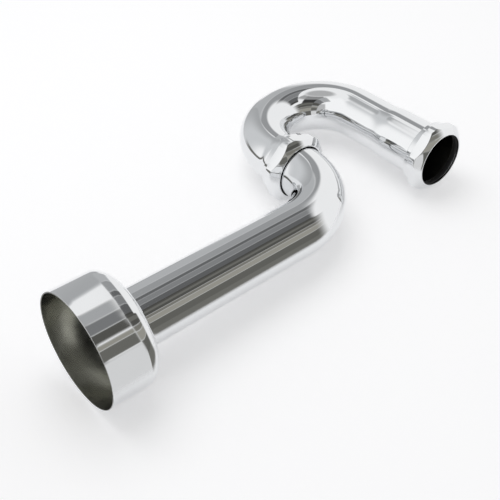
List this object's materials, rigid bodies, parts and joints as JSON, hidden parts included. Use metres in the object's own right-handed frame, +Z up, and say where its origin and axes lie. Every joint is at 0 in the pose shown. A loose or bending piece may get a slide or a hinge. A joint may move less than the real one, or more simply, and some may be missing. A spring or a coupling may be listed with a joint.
{
  "type": "tubular P-trap",
  "caption": "Chrome-plated tubular P-trap with a swivelling U-bend, slip nuts, rubber washers and a box flange that slides on the wall tube.",
  "frame": {"origin": "centre of the inlet socket's mouth", "axes": "+Y out of the inlet, +X along the wall tube towards the wall, +Z up from the surface that the trap lies on"},
  "size_m": [0.2696, 0.1395, 0.0634],
  "materials": {
    "chrome_tube": "polished chrome plate on brass tube",
    "chrome_nut": "polished chrome plate on a brass nut",
    "chrome_flange": "polished chrome plate on a spun cup",
    "black_rubber": "matt black rubber"
  },
  "bodies": {
    "wall_tube": {"wall_tube": "chrome_tube"},
    "box_flange": {"box_flange": "chrome_flange"},
    "outlet_washer": {"outlet_washer": "black_rubber"},
    "outlet_nut": {"outlet_nut": "chrome_nut"},
    "trap_bend": {"trap_bend": "chrome_tube"},
    "inlet_washer": {"inlet_washer": "black_rubber"},
    "inlet_nut": {"inlet_nut": "chrome_nut"}
  },
  "joints": [
    {"name": "flange_slide", "type": "slide", "parent": "wall_tube", "child": "box_flange", "axis": [0.9982, 0, 0.0596], "range_m": [-0.108, 0]},
    {"name": "trap_swivel", "type": "hinge", "parent": "wall_tube", "child": "outlet_washer", "pos_m": [0.0685, -0.0492, 0], "axis": [0, 1, 0], "range_deg": [-120, 115]},
    {"name": "outlet_nut_turn", "type": "hinge", "parent": "outlet_washer", "child": "outlet_nut", "pos_m": [0.0685, -0.0492, 0], "axis": [0, 1, 0], "range_deg": [0, 1080]},
    {"name": "trap_draw_off", "type": "slide", "parent": "outlet_washer", "child": "trap_bend", "axis": [0, 1, 0], "range_m": [-0.0066, 0]},
    {"name": "inlet_nut_travel", "type": "slide", "parent": "trap_bend", "child": "inlet_washer", "axis": [0, 1, 0], "range_m": [0, 0.0066]},
    {"name": "inlet_nut_turn", "type": "hinge", "parent": "inlet_washer", "child": "inlet_nut", "pos_m": [0, 0, 0], "axis": [0, 1, 0], "range_deg": [0, 1080]}
  ],
  "couplings": [
    {"joint": "trap_draw_off", "follows": "outlet_nut_turn", "m_per_rad": -0.00035014},
    {"joint": "inlet_nut_travel", "follows": "inlet_nut_turn", "m_per_rad": 0.00035014}
  ]
}
